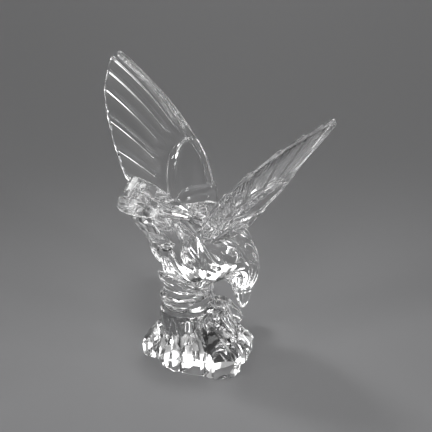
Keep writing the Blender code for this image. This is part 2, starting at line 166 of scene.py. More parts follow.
# What is cut into the head: angles and half widths in degrees from the crown, places along the body, depths.
MOUTH = (118.0, 7.0)
MOUTH_START = (0.62, 0.7)
MOUTH_END = (0.93, 0.97)
MOUTH_DEPTH = 1.4
CERE = (0.775, 0.012)
CERE_HEIGHT = 0.7
CROWN_HALF = 16.0
CROWN_START = (0.74, 0.8)
CROWN_HEIGHT = 0.4
SOCKET = (84.0, 14.0)
SOCKET_PLACE = (0.335, 0.03)
SOCKET_DEPTH = 1.2

# Swellings of the flank and the neck on each side: both ends of each in the side view, its half height
# across that line, its half thickness, and how far out its middle is.
FLANK = ((-34, 127), (-10, 71), 14.5, 13.0, 12.0)
NECK = ((-16, 112), (10, 80), 10.5, 12.5, 15.0)
POD_SIDES = 60
POD_RINGS = 40
POD_CAP = 0.998
# The swellings' feathers: rows along, feathers across, and their depth as a share of the half thickness.
POD_ROWS = 4
POD_ACROSS = 8
POD_FEATHER_DEPTH = 0.1
# Where the feathers fade out, by how far out on the swelling they are.
POD_FEATHER_FADE = (0.75, 0.92)

EYE = (12, 24.8, 93)
EYE_RADIUS = 3.3
EYE_STEPS = 16
EYE_RINGS = ((-0.9, 0.5), (-0.5, 0.9), (0.2, 1.0), (0.7, 0.72), (0.95, 0.3))
BROW = ((11, 22.6, 103), (16.5, 23, 96.5), (22.5, 21.6, 89), (29, 18.8, 80.5), (35, 16, 72))
BROW_RADIUS = 2.6
BROW_STEPS = 24
BROW_FULLNESS = (0.4, 1.0, 1.1, 0.9, 0.4)

TAIL_ROOT = (-6, 0, 117)
# Each fan: its end in the side view, half spread, droop of both sides, roll and turn of the left side down
# and back, half thickness, and its thickness across from the left side to the right.
UPPER_FAN = ((-47.5, 150.0), 32.0, 1.2, 1.2, 0.0, 6.9, (1.0, 0.92, 0.82, 0.7, 0.5, 0.1))
LOWER_FAN = ((-59.0, 138.5), 28.5, 0.0, 3.0, 0.03, 6.6, (0.65, 0.9, 1.0, 0.9, 0.6, 0.15))
GROOVE_FAN = ((-53.0, 143.0), 28.0, 1.0, 1.5, 0.02, 5.0, (0.9, 1.0, 1.0, 0.8, 0.5, 0.1))
FAN_FEATHERS = 3
FAN_ROOT_SPREAD = 0.15
FAN_ROUNDING = 0.13
FAN_NOTCH = 0.004
FAN_NOTCH_START = (0.94, 0.97)
FEATHER_CROWN = 0.03
FAN_PARTS = 18
FAN_PROFILE = ((0.05, 1.0), (0.2, 1.0), (0.4, 1.0), (0.6, 1.0), (0.75, 1.0), (0.86, 1.0), (0.94, 1.0),
               (0.965, 1.0), (0.985, 0.98), (0.992, 0.95), (0.997, 0.91), (1.0, 0.85))
UNDER_TAIL_TOP = ((2, 110), (-56, 136))
UNDER_TAIL_BOTTOM = ((-28, 77), (-40, 100), (-57, 128))
UNDER_TAIL_HALF_WIDTH = 20.0
UNDER_TAIL_SIDES = 96
UNDER_TAIL_RINGS = 48

COLUMN_MIDDLE = -13.5
# Each edge between two tufts: its height on the column's middle line, and its slope down to the front.
TUFT_EDGES = ((90.0, 0.6), (66.5, 0.62), (59.0, -0.04), (46.5, 0.05), (25.0, 0.0))
# The slope stops this far forward of the column's middle, so that no two edges cross.
TUFT_SLOPE_END = 3.0
COLUMN_HALF_LENGTH = 20.0
COLUMN_HALF_WIDTH = 19.0
COLUMN_SIDES = 144
TUFT_RINGS = 36
TUFT_SWELLS = (1.5, 3.0, 2.4, 1.8)
# Where a tuft is fullest, how its upper lip rounds over, and where its strands begin.
TUFT_CREST = 0.12
TUFT_LIP = (-0.05, 0.08)
TUFT_STRANDS = (3, 3, 2, 1)
STRAND_START = (0.1, 0.3)
STRAND_DEPTH = 0.5
FOOT_FLUTES = 11
FLUTE_DEPTH = 1.6
FLUTE_SWAY = 0.4
FLUTE_SWAYS = 3
# How far above the column's foot, as a share of its last tuft, the flutes reach their full depth.
FLUTES_FULL = 0.6
WAIST = 0.06
THIGH_CLEFT = 0.12
CLEFT_SHARPNESS = 4.0

ROCK_CORNERS = (
    (0, 41, 12, 26), (16, 38, 8, 21), (30, 44, 13, 24), (50, 43, 14, 28), (62, 37, 9, 21), (78, 43, 14, 25),
    (98, 43, 13, 27), (112, 38, 8, 20), (128, 43, 12, 26), (147, 44, 11, 24), (157, 35, 5, 18),
    (170, 34.5, 5, 19), (184, 35, 9, 23), (199, 36, 11, 29), (218, 35, 12, 22), (236, 37, 14, 28),
    (249, 45, 15, 24), (268, 48, 14, 28), (280, 45, 14, 25), (290, 39, 9, 20), (306, 42, 12, 27),
    (324, 44, 13, 22), (343, 43, 12, 28),
)
ROCK_MIDDLE = (-2.0, 1.0)
ROCK_DRAFT = 1.0
ROCK_HUB_MIDDLE = (-9.0, 0.0)
ROCK_HUB_HEIGHT = 37.0
ROCK_HUB_RADIUS = 18.0
ROCK_EDGE_BEVEL = 0.6
ROCK_BEVEL_SEGMENTS = 2
ROCK_BEVEL_DEGREES = 12.0
# How far the pleats between the corners stand in or out, how this changes from one to the next, and by what
# share of it they lie further in.
ROCK_PLEAT = 2.2
PLEAT_TURN = 2.4
PLEAT_HOLLOW = 0.3
# How far the chipped facets on its slopes stand in or out, and how this changes from one to the next.
ROCK_CHIP = 1.0
SLOPE_CHIP_TURN = 3.7
CREST_CHIP_TURN = 2.9

KNUCKLE = (4.0, 9.5, 46.0)
TOES = ((8, 25, 21), (62, 20, 24), (-28, 18, 22))
SHANK = ((-7, 13, 68), (-5, 13, 56), (1, 11, 44), (2, 10, 34))
SHANK_RADIUS = 5.5
SHANK_FULLNESS = (1.2, 1.0, 1.1, 0.8)
TOE_RADIUS = 4.4
TOE_RUN = (
    (-0.4, -0.15, 1.3), (0.05, 0.0, 1.5), (0.4, 0.12, 1.3), (0.7, 0.45, 1.05), (0.92, 0.7, 0.85),
    (1.0, 0.9, 0.55), (0.93, 1.08, 0.3),
)
TOE_SIDES = 28
TOE_STEPS = 40
TOE_SCALES = 9
TOE_SCALE_DEPTH = 0.05
TOE_SCALES_END = (0.6, 0.75)

SHARP_DEGREES = 20.0

# The glass: the unevenness of its polish and the faint waves in its surface, with sizes in metres.
GLASS_IOR = 1.57
POLISH_SCALE = 35.0
POLISH_DETAIL = 2.0
MOST_ROUGHNESS = 0.012
WAVE_SCALE = 90.0
WAVE_DETAIL = 1.0
WAVE_STRENGTH = 0.03
WAVE_HEIGHT = 0.001

# The floor, in metres. The gap keeps it clear of the underside.
FLOOR_RADIUS = 12.0
FLOOR_SIDES = 96
FLOOR_COLOUR = (0.45, 0.45, 0.46, 1.0)
FLOOR_ROUGHNESS = 0.75
FLOOR_GAP = 0.0002

# The softbox overhead and the point that all the lights face, in metres, watts and degrees.
LIT_POINT = (0.0, 0.0, 0.11)
OVERHEAD_PLACE = (-0.1, 0.05, 0.85)
OVERHEAD_SIDE = 0.12
OVERHEAD_POWER = 0.11
OVERHEAD_SPREAD = 60.0

# Small bright panels round the object: (degrees, distance, middle height, width, height, spread, power).
PANELS = (
    (172, 0.9, 0.30, 0.14, 0.40, 60, 0.10), (-60, 0.9, 0.30, 0.14, 0.40, 60, 0.10),
    (-140, 0.9, 0.30, 0.10, 0.40, 60, 0.06),
    (-165, 0.9, 0.75, 0.05, 0.36, 60, 0.08), (-92, 0.9, 0.75, 0.05, 0.36, 60, 0.08),
)
# The studio air: its brightness by the sine of the height above the horizon, and the soft windows round it.
AIR = (
    (0.0, 2.6), (0.01, 3.1), (0.24, 3.1), (0.3, 0.5), (0.4, 0.3), (0.46, 0.15), (0.7, 0.15), (0.75, 0.5),
    (0.82, 0.5), (0.87, 0.15), (1.0, 0.15),
)
AIR_WINDOWS = 9
AIR_WINDOW_EDGES = (-0.2, 0.4)
AIR_DARKEST = 0.14

# The photograph's camera: turned this far from the bird's side, looking down, and where the origin falls.
CAMERA_TURN = 38.0
CAMERA_PITCH = 22.0
PHOTO_SIDE = 432
FOCAL_PX = 1000.0
ORIGIN_PX = (201.0, 352.0)
DISTANCE = 0.799
SENSOR_WIDTH = 36.0
CLIP_START = 0.01

# How often light may cross the crystal, glance off it and leave the floor.
GLASS_BOUNCES = 24
GLOSSY_BOUNCES = 12
FLOOR_BOUNCES = 3


def on_curve(points, t):
    """The point at t, from 0 to 1, on the smooth curve through the points."""
    count = len(points) - 1
    place = min(max(t, 0.0), 1.0) * count
    i = min(int(place), count - 1)
    x = place - i
    p1 = points[i]
    p2 = points[i + 1]
    p0 = points[i - 1] if i > 0 else tuple(2 * a - b for a, b in zip(p1, p2))
    p3 = points[i + 2] if i + 2 <= count else tuple(2 * b - a for a, b in zip(p1, p2))
    return tuple(
        0.5 * (2 * b + (c - a) * x + (2 * a - 5 * b + 4 * c - d) * x * x + (3 * b - a - 3 * c + d) * x ** 3)
        for a, b, c, d in zip(p0, p1, p2, p3)
    )


def mix(a, b, t):
    return a + (b - a) * t


def mix_points(a, b, t):
    return tuple(mix(x, y, t) for x, y in zip(a, b))


def hump(x, middle, half):
    """A smooth bump of height 1 about the middle."""
    return math.exp(-((x - middle) / half) ** 2)


def ease(x, low, high):
    """0 below low, 1 above high, smooth between them."""
    t = min(max((x - low) / (high - low), 0.0), 1.0)
    return t * t * (3 - 2 * t)


def close_mesh(name, points, faces):
    """A closed mesh object in metres from points in millimetres, facing out."""
    mesh = bpy.data.meshes.new(name)
    mesh.from_pydata([Vector(point) * MM for point in points], [], faces)
    bm = bmesh.new()
    bm.from_mesh(mesh)
    bmesh.ops.recalc_face_normals(bm, faces=bm.faces)
    bmesh.ops.triangulate(bm, faces=[face for face in bm.faces if len(face.verts) > 4])
    bm.to_mesh(mesh)
    bm.free()
    obj = bpy.data.objects.new(name, mesh)
    bpy.context.scene.collection.objects.link(obj)
    return obj


def loft(name, rings):
    """A closed skin over rings of equal count, capped at both ends."""
    count = len(rings[0])
    points = [point for ring in rings for point in ring]
    faces = [tuple(range(count)), tuple(range(len(points) - count, len(points)))[::-1]]
    for i in range(len(rings) - 1):
        for j in range(count):
            k = (j + 1) % count
            faces.append((i * count + j, i * count + k, (i + 1) * count + k, (i + 1) * count + j))
    return close_mesh(name, points, faces)


def plate(name, rows, half):
    """A closed plate about a grid of middle points; half gives its half thickness vector at (i, j)."""
    high = len(rows)
    wide = len(rows[0])
    points = []
    for side in (1, -1):
        for i, row in enumerate(rows):
            for j, point in enumerate(row):
                offset = half(i, j)
                points.append(tuple(p + side * o for p, o in zip(point, offset)))
    faces = []
    for i in range(high - 1):
        for j in range(wide - 1):
            quad = (i * wide + j, i * wide + j + 1, (i + 1) * wide + j + 1, (i + 1) * wide + j)
            faces.append(quad)
            faces.append(tuple(k + high * wide for k in quad)[::-1])
    edge = [(0, j) for j in range(wide)] + [(i, wide - 1) for i in range(1, high)]
    edge += [(high - 1, j) for j in range(wide - 2, -1, -1)] + [(i, 0) for i in range(high - 2, 0, -1)]
    for a, b in zip(edge, edge[1:] + edge[:1]):
        top_a = a[0] * wide + a[1]
        top_b = b[0] * wide + b[1]
        faces.append((top_b, top_a, top_a + high * wide, top_b + high * wide))
    return close_mesh(name, points, faces)


def wing_reach(forward, up):
    rise = up - WING_FOOT_HEIGHT
    return WING_FOOT_REACH + WING_SPREAD * rise + WING_FLARE * rise * rise - WING_TWIST * forward


def wing_point(side, forward, up):
    return (forward, side * wing_reach(forward, up), up)


def wing_normal(side, forward, up):
    """The unit normal of the wing surface."""
    rise = up - WING_FOOT_HEIGHT
    slope = WING_SPREAD + 2 * WING_FLARE * rise
    return Vector((WING_TWIST, side, -slope)).normalized()


def feather_place(a, r):
    """Side view place on the feathered blade: a runs over the feathers, r from the coverts to the ends."""
    start = on_curve(COVERT_ARC, a)
    end = on_curve(FEATHER_ENDS, a)
    forward, up = mix_points(start, end, r)
    bow = RAY_BOW * (1 - a) ** 2 * 4 * r * (1 - r)
    across = Vector((end[1] - start[1], start[0] - end[0])).normalized()
    return forward + across.x * bow, up + across.y * bow


def feather_columns():
    """(a, how far through its feather) along the fan, with a sharp step where a feather ends."""
    columns = []
    for start, end in zip(FEATHER_EDGES, FEATHER_EDGES[1:]):
        for part in FEATHER_PARTS:
            columns.append((mix(start, end, part), part))
    columns.append((1.0, 1.0))
    return columns


def feather_rise(part):
    """How high a feather stands over the next: a long hollow ramp, then a short rise to the next crest."""
    crest = hump(part, CREST_PLACE, CREST_HALF) + hump(part, 1 + CREST_PLACE, CREST_HALF)
    ramp = (1 - part) ** FEATHER_HOLLOW + ease(part, FEATHER_RISE_FROM, 1.0)
    return FEATHER_STEP * ramp + FEATHER_CREST * crest


def blade(side):
    """The feathered blade: broad feathers, each a step over the next."""
    columns = feather_columns()
    rows = []
    thickness = []
    for i in range(BLADE_ROWS + 1):
        r = mix(BLADE_START, 1.0, (i / BLADE_ROWS) ** BLADE_PACKING)
        row = []
        for a, part in columns:
            forward, up = feather_place(a, r)
            row.append(wing_point(side, forward, up))
            half = mix(BLADE_ROOT_HALF, BLADE_EDGE_HALF, max(r, 0.0))
            half += feather_rise(part) * min(1.0, max(r, 0.0) * STEP_ONSET)
            half *= 1 - BLADE_END_THINNING * ease(r, BLADE_END_FROM, 1.0)
            thickness.append(wing_normal(side, forward, up) * half)
        rows.append(row)
    wide = len(columns)
    return plate("blade", rows, lambda i, j: thickness[i * wide + j])


def rim(side):
    """The thick leading edge: three rods along the arm, two on the hand and one at the tip."""
    route = [on_curve(SHOULDER_TO_WRIST, i / RIM_ARM_STEPS) for i in range(RIM_ARM_STEPS)]
    route += [on_curve(WRIST_TO_TIP, i / RIM_HAND_STEPS) for i in range(RIM_HAND_STEPS + 1)]
    rings = []
    count = len(route)
    beads_along, beads_around = RIM_BEADS
    for i, place in enumerate(route):
        t = RIM_WRIST_PLACE * min(i / RIM_ARM_STEPS, 1.0)
        t += (1 - RIM_WRIST_PLACE) * max(i - RIM_ARM_STEPS, 0) / RIM_HAND_STEPS
        radius = on_curve([(full,) for full in RIM_RADII], t)[0]
        before = route[max(i - 1, 0)]
        after = route[min(i + 1, count - 1)]
        along = Vector((after[0] - before[0], after[1] - before[1])).normalized()
        inward = Vector((-along.y, along.x))
        forward = place[0] + inward.x * radius
        up = place[1] + inward.y * radius
        middle = Vector(wing_point(side, forward, up))
        normal = wing_normal(side, forward, up)
        edge = Vector(wing_point(side, forward - inward.x, up - inward.y)) - middle
        edge.normalize()
        hand = ease(t, *RIM_HAND_START)
        thick = mix(1.0, RIM_HAND_THICKNESS, hand)
        groove = RIM_GROOVE * hand * (1 - ease(t, *RIM_GROOVE_FADE))
        twin_grooves = RIM_GROOVE * (1 - hand)
        beading = RIM_BEADING * hand
        ring = []
        for k in range(RIM_SIDES):
            angle = 2 * math.pi * k / RIM_SIDES
            cut = 1 - groove * hump(abs(math.sin(angle)), *RIM_HAND_GROOVE)
            cut -= twin_grooves * hump(abs(math.sin(angle)), *RIM_ARM_GROOVES)
            bead_along = math.sin(2 * math.pi * beads_along * t)
            bead_around = math.cos(beads_around * angle + RIM_BEAD_SWIRL * t)
            cut += beading * bead_along * bead_around
            ring.append(middle + (edge * math.cos(angle) + normal * thick * math.sin(angle)) * radius * cut)
        rings.append(ring)
    return loft("rim", rings)


def coverts(side):
    """The smooth shield over the arm, thickest in its middle, with a bead round its upper edge."""
    rows = []
    thickness = []
    wide = COVERT_COLUMNS
    for i in range(COVERT_ROWS):
        r = i / (COVERT_ROWS - 1)
        row = []
        for j in range(wide):
            a = j / (wide - 1)
            arm = on_curve(SHOULDER_TO_WRIST, 1 - a)
            arc = on_curve(COVERT_ARC, a)
            inner = mix_points(arm, arc, COVERT_INSET)
            forward, up = mix_points(inner, arc, r)
            row.append(wing_point(side, forward, up))
            swell = math.sin(math.pi * r) ** 0.5 if 0 < r < 1 else 0.0
            half = mix(COVERT_EDGE_HALF, COVERT_HALF, swell)
            bead = hump(r, COVERT_BEAD_PLACE, COVERT_LINE_HALF) * (1 - ease(a, *COVERT_BEAD_FADE))
            crease = hump(r, COVERT_CREASE_PLACE, COVERT_LINE_HALF)
            half += COVERT_BEAD * (bead - COVERT_CREASE * crease)
            thickness.append(wing_normal(side, forward, up) * half)
        rows.append(row)
    return plate("coverts", rows, lambda i, j: thickness[i * wide + j])


def scapulars(side):
    """The short feathers over the wing's foot: a thick step over the coverts, with a line along its edge."""
    rows = []
    thickness = []
    halves = [(half,) for half in SCAPULAR_HALF]
    for i in range(SCAPULAR_ROWS):
        r = i / (SCAPULAR_ROWS - 1)
        row = []
        for j in range(SCAPULAR_COLUMNS):
            a = j / (SCAPULAR_COLUMNS - 1)
            forward, up = mix_points(on_curve(SCAPULAR_FOOT, a), on_curve(SCAPULAR_ARC, a), r)
            row.append(wing_point(side, forward, up))
            edge = 1 - SCAPULAR_TAPER * abs(2 * a - 1) ** 3
            line = hump(r, SCAPULAR_LINE_PLACE, SCAPULAR_LINE_HALF) * (1 - ease(a, *SCAPULAR_LINE_FADE))
            thinning = 1 - SCAPULAR_EDGE_THINNING * ease(r, SCAPULAR_EDGE_FROM, 1.0)
            half = on_curve(halves, r)[0] * edge * thinning - SCAPULAR_LINE * line
            thickness.append(wing_normal(side, forward, up) * half)
        rows.append(row)
    return plate("scapulars", rows, lambda i, j: thickness[i * SCAPULAR_COLUMNS + j])


def scallops(u, v):
    """Overlapping round-ended feathers: 1 at a free edge, falling to 0 at its root."""
    height = 0.0
    for row in (0, 1):
        x = (v + 0.5 * row) % 1.0 - 0.5
        height = max(height, 1 - ((u + row - SCALLOP_ROUND * (1 - 4 * x * x)) / 2) % 1.0)
    return height


def rounded(height):
    """The same feather with its free edge rounded over."""
    return height ** SCALLOP_HOLLOW * (1 - SCALLOP_LIP * ease(height, SCALLOP_LIP_FROM, 1.0))


def degree_hump(around, middle, half):
    """A smooth bump over an angle in radians, about a middle given in degrees."""
    return hump(around, math.radians(middle), math.radians(half))


def body_relief(t, angle):
    """What is carved on the body and head, in millimetres outward."""
    plumage = scallops(t * PLUMAGE_ROWS / PLUMAGE_END, angle / (2 * math.pi) * PLUMAGE_ACROSS)
    carved = PLUMAGE_DEPTH * (rounded(plumage) - 0.5) * (1 - ease(t, PLUMAGE_END - PLUMAGE_FADE, PLUMAGE_END))
    around = abs((angle + math.pi) % (2 * math.pi) - math.pi)
    sway = NAPE_SWAY * math.sin(NAPE_SWAY_RATE * t)
    strands = abs(math.sin(angle * NAPE_STRANDS / 2 + sway)) - STRAND_LEVEL
    strands *= ease(t, *NAPE_START) * (1 - ease(t, *NAPE_END))
    mouth = degree_hump(around, *MOUTH) * ease(t, *MOUTH_START) * (1 - ease(t, *MOUTH_END))
    crown = degree_hump(around, 0.0, CROWN_HALF) * ease(t, *CROWN_START)
    socket = degree_hump(around, *SOCKET) * hump(t, *SOCKET_PLACE)
    carved = carved + NAPE_DEPTH * strands - MOUTH_DEPTH * mouth
    return carved + CERE_HEIGHT * hump(t, *CERE) + CROWN_HEIGHT * crown - SOCKET_DEPTH * socket


def body():
    rings = []
    steps = BODY_RINGS_PER_STATION * (len(BODY_STATIONS) - 1)
    for i in range(steps + 1):
        t = i / steps
        forward, up, deep, wide = on_curve(BODY_STATIONS, t)
        before = on_curve(BODY_STATIONS, t - BODY_LOOK)
        after = on_curve(BODY_STATIONS, t + BODY_LOOK)
        along = Vector((after[0] - before[0], 0, after[1] - before[1])).normalized()
        across = Vector((-along.z, 0, along.x))
        ring = []
        middle = Vector((forward, 0, up))
        for k in range(BODY_SIDES):
            angle = 2 * math.pi * k / BODY_SIDES
            lift = body_relief(t, angle) if 0 < i < steps else 0.0
            reach = across * (deep + lift) * math.cos(angle) + Vector((0, (wide + lift) * math.sin(angle), 0))
            ring.append(middle + reach)
        rings.append(ring)
    return loft("body", rings)


def tail_fan(end, spread, droop, roll, turn, half, across):
    """A thick fan of feathers side by side, each crowned and round ended."""
    root = Vector(TAIL_ROOT)
    tip = Vector((end[0], 0, end[1]))
    over = (tip - root).cross(Vector((0, 1, 0))).normalized()
    if over.z < 0:
        over = -over
    columns = [i / (FAN_FEATHERS * FAN_PARTS) for i in range(FAN_FEATHERS * FAN_PARTS + 1)]
    fullness_across = [(full,) for full in across]
    rows = []
    halves = []
    for t, fullness in FAN_PROFILE:
        row = []
        for column in columns:
            side = 1 - 2 * column
            crown = 1 - (2 * ((column * FAN_FEATHERS) % 1.0) - 1) ** 2 if column < 1 else 0.0
            notch = FAN_NOTCH * (1 - crown) * ease(t, *FAN_NOTCH_START)
            place = root.lerp(tip, t * (1 - FAN_ROUNDING * side * side + turn * side) - notch)
            width = mix(FAN_ROOT_SPREAD, 1.0, t) * spread
            row.append(place + Vector((0, side * width, 0)) - over * (droop * side + roll) * side * t)
            taper = on_curve(fullness_across, column)[0]
            halves.append(over * half * mix(1 - FEATHER_CROWN, 1.0, crown) * fullness * taper)
        rows.append(row)
    wide = len(columns)
    return plate("tail_fan", rows, lambda i, j: halves[i * wide + j])


def under_tail():
    """The smooth wedge of lower coverts that carries the tail."""
    rings = []
    for i in range(UNDER_TAIL_RINGS + 1):
        t = i / UNDER_TAIL_RINGS
        top = on_curve(UNDER_TAIL_TOP, t)
        bottom = on_curve(UNDER_TAIL_BOTTOM, t)
        middle = Vector(((top[0] + bottom[0]) / 2, 0, (top[1] + bottom[1]) / 2))
        across = Vector((top[0] - bottom[0], 0, top[1] - bottom[1])) / 2
        ring = []
        for k in range(UNDER_TAIL_SIDES):
            angle = 2 * math.pi * k / UNDER_TAIL_SIDES
            sideways = Vector((0, UNDER_TAIL_HALF_WIDTH * math.sin(angle), 0))
            ring.append(middle + across * math.cos(angle) + sideways)
        rings.append(ring)
    return loft("under_tail", rings)


def tail():
    return [tail_fan(*UPPER_FAN), tail_fan(*GROOVE_FAN), tail_fan(*LOWER_FAN), under_tail()]


def tuft_swell(tuft, part):
    """How far a tuft stands out at a part of its height: full near its top, drawn in at its end."""
    swell = TUFT_SWELLS[tuft] * math.cos(math.pi * max(part - TUFT_CREST, 0.0)) * ease(part, *TUFT_LIP)
    strand = abs(math.sin(math.pi * TUFT_STRANDS[tuft] * part))
    return swell + STRAND_DEPTH * (strand - STRAND_LEVEL) * ease(part, *STRAND_START)


def column():
    """The thighs: tufts of long strands slipping out from under one another, parted by a cleft in front."""
    rings = []
    tufts = len(TUFT_SWELLS)
    for tuft in range(tufts):
        for i in range(TUFT_RINGS):
            part = i / TUFT_RINGS
            height, slope = mix_points(TUFT_EDGES[tuft], TUFT_EDGES[tuft + 1], part)
            waist = 1 - WAIST * math.sin(math.pi * (tuft + part) / tufts)
            foot = ease(tuft + part, tufts - 1, tufts - FLUTES_FULL)
            ring = []
            for k in range(COLUMN_SIDES):
                angle = 2 * math.pi * k / COLUMN_SIDES
                wave = math.sin(angle * FOOT_FLUTES / 2 + FLUTE_SWAY * math.sin(angle * FLUTE_SWAYS))
                flute = FLUTE_DEPTH * foot * (abs(wave) - STRAND_LEVEL)
                length = (COLUMN_HALF_LENGTH + tuft_swell(tuft, part) + flute) * waist
                width = (COLUMN_HALF_WIDTH + tuft_swell(tuft, part) + flute) * waist
                cleft = 1 - THIGH_CLEFT * math.exp(-((math.cos(angle) - 1) * CLEFT_SHARPNESS) ** 2)
                forward = length * cleft * math.cos(angle)
                fall = slope * min(forward, TUFT_SLOPE_END)
                ring.append((COLUMN_MIDDLE + forward, width * math.sin(angle), height - fall))
            rings.append(ring)
    return loft("column", rings)


def pleated(corners):
    """The rock's corners with a shallow hollow or a low ridge between each two of them."""
    pleats = []
    for i, (corner, after) in enumerate(zip(corners, corners[1:] + corners[:1])):
        degrees = (corner[0] + (after[0] - corner[0]) % 360 / 2) % 360
        _, reach, rim_height, shoulder_height = mix_points(corner, after, 0.5)
        lift = ROCK_PLEAT * math.sin(PLEAT_TURN * i)
        reach = reach - PLEAT_HOLLOW * ROCK_PLEAT + 0.5 * lift
        pleats += [corner, (degrees, reach, rim_height + lift, shoulder_height - lift)]
    return pleats


def out_from(middle, ahead, radius, height):
    """The point this far out from a middle in the direction ahead, at this height."""
    return (middle[0] + radius * ahead[0], middle[1] + radius * ahead[1], height)


def rock():
    """A faceted mound whose shoulder rises and falls from corner to corner."""
    rings = [[] for _ in range(6)]
    foot, rim_ring, slope, shoulder, crest, hub = rings
    shoulder_middle = mix_points(ROCK_MIDDLE, ROCK_HUB_MIDDLE, 0.5)
    for i, (degrees, reach, rim_height, shoulder_height) in enumerate(pleated(ROCK_CORNERS)):
        angle = math.radians(degrees)
        ahead = (math.cos(angle), math.sin(angle))
        foot.append(out_from(ROCK_MIDDLE, ahead, reach - ROCK_DRAFT, 0.0))
        rim_ring.append(out_from(ROCK_MIDDLE, ahead, reach, rim_height))
        shoulder.append(out_from(shoulder_middle, ahead, mix(reach, ROCK_HUB_RADIUS, 0.5), shoulder_height))
        hub.append(out_from(ROCK_HUB_MIDDLE, ahead, ROCK_HUB_RADIUS, ROCK_HUB_HEIGHT))
        chip = Vector((ahead[0], ahead[1], 1.0)) * ROCK_CHIP
        slope_chip = chip * math.sin(SLOPE_CHIP_TURN * i)
        crest_chip = chip * math.sin(CREST_CHIP_TURN * i + 1)
        slope.append(Vector(mix_points(rim_ring[-1], shoulder[-1], 0.5)) + slope_chip)
        crest.append(Vector(mix_points(shoulder[-1], hub[-1], 0.5)) + crest_chip)
    return loft("rock", rings)


def tube(name, route, radii, side, sides=TOE_SIDES):
    """A round tube along a route that stays square to the side vector."""
    rings = []
    last = len(route) - 1
    for i, (place, radius) in enumerate(zip(route, radii)):
        along = (route[min(i + 1, last)] - route[max(i - 1, 0)]).normalized()
        over = side.cross(along)
        ring = []
        for k in range(sides):
            angle = 2 * math.pi * k / sides
            ring.append(place + side * radius * math.cos(angle) + over * radius * math.sin(angle))
        rings.append(ring)
    return loft(name, rings)


def pod(name, rear, front, across, thick, out, side):
    """A swelling like a flattened egg, laid along a line in the side view and carved with broad feathers."""
    start = Vector((rear[0], side * out, rear[1]))
    end = Vector((front[0], side * out, front[1]))
    along = (end - start).normalized()
    over = along.cross(Vector((0, 1, 0)))
    rings = []
    for i in range(POD_RINGS + 1):
        place = POD_CAP * math.cos(math.pi * (1 - i / POD_RINGS))
        full = math.sqrt(1 - place * place)
        middle = start.lerp(end, (1 + place) / 2)
        ring = []
        for k in range(POD_SIDES):
            angle = 2 * math.pi * k / POD_SIDES
            feather = rounded(scallops(i / POD_RINGS * POD_ROWS, angle / (2 * math.pi) * POD_ACROSS))
            outward = full * abs(math.sin(angle))
            cut = full * (1 - POD_FEATHER_DEPTH * (1 - feather) * ease(outward, *POD_FEATHER_FADE))
            sideways = Vector((0, thick * cut * math.sin(angle), 0))
            ring.append(middle + over * across * cut * math.cos(angle) + sideways)
        rings.append(ring)
    return loft(name, rings)


def swellings():
    """Flank and neck, which stand out from the body on each side."""
    return [pod("flank", *FLANK, side) for side in (1, -1)] + [pod("neck", *NECK, side) for side in (1, -1)]


def face():
    """A round eye under a heavy brow on each side of the head."""
    pieces = []
    for side in (1, -1):
        middle = Vector((EYE[0], side * EYE[1], EYE[2]))
        rings = [on_curve(EYE_RINGS, i / EYE_STEPS) for i in range(EYE_STEPS + 1)]
        route = [middle + Vector((0, side * EYE_RADIUS * out, 0)) for out, _ in rings]
        radii = [EYE_RADIUS * full for _, full in rings]
        pieces.append(tube("eye", route, radii, Vector((1, 0, 0))))
        stations = [on_curve(BROW, i / BROW_STEPS) for i in range(BROW_STEPS + 1)]
        route = [Vector((x, side * y, z)) for x, y, z in stations]
        fullness = [(full,) for full in BROW_FULLNESS]
        radii = [BROW_RADIUS * on_curve(fullness, i / BROW_STEPS)[0] for i in range(BROW_STEPS + 1)]
        pieces.append(tube("brow", route, radii, Vector((0, 1, 0))))
    return pieces


def feet():
    """A short leg a side and three toes, each from a high knuckle down to a hooked claw on the rock."""
    toes = []
    fullness = [(full,) for full in SHANK_FULLNESS]
    for side in (1, -1):
        leg = [on_curve(SHANK, i / TOE_STEPS) for i in range(TOE_STEPS + 1)]
        leg = [Vector((x, side * y, z)) for x, y, z in leg]
        radii = [SHANK_RADIUS * on_curve(fullness, i / TOE_STEPS)[0] for i in range(TOE_STEPS + 1)]
        toes.append(tube("shank", leg, radii, Vector((0, 1, 0))))
        for heading, reach, drop in TOES:
            turn = math.radians(side * heading)
            ahead = Vector((math.cos(turn), math.sin(turn), 0))
            knuckle = Vector((KNUCKLE[0], side * KNUCKLE[1], KNUCKLE[2]))
            route = []
            radii = []
            for i in range(TOE_STEPS + 1):
                t = i / TOE_STEPS
                out, down, full = on_curve(TOE_RUN, t)
                route.append(knuckle + ahead * reach * out - Vector((0, 0, drop * down)))
                ripple = abs(math.sin(math.pi * TOE_SCALES * t)) - 0.5
                scale = 1 + TOE_SCALE_DEPTH * ripple * (1 - ease(t, *TOE_SCALES_END))
                radii.append(TOE_RADIUS * full * scale)
            toes.append(tube("toe", route, radii, ahead.cross(Vector((0, 0, 1)))))
    return toes


def apply_modifiers(obj):
    """Bakes the object's modifiers into a new mesh on it."""
    graph = bpy.context.evaluated_depsgraph_get()
    mesh = bpy.data.meshes.new_from_object(obj.evaluated_get(graph))
    obj.modifiers.clear()
    obj.data = mesh


def bevelled_rock():
    stone = rock()
    bevel = stone.modifiers.new("worn_edges", "BEVEL")
    bevel.width = ROCK_EDGE_BEVEL * MM
    bevel.segments = ROCK_BEVEL_SEGMENTS
    bevel.limit_method = "ANGLE"
    bevel.angle_limit = math.radians(ROCK_BEVEL_DEGREES)
    bpy.context.view_layer.update()
    apply_modifiers(stone)
    return stone


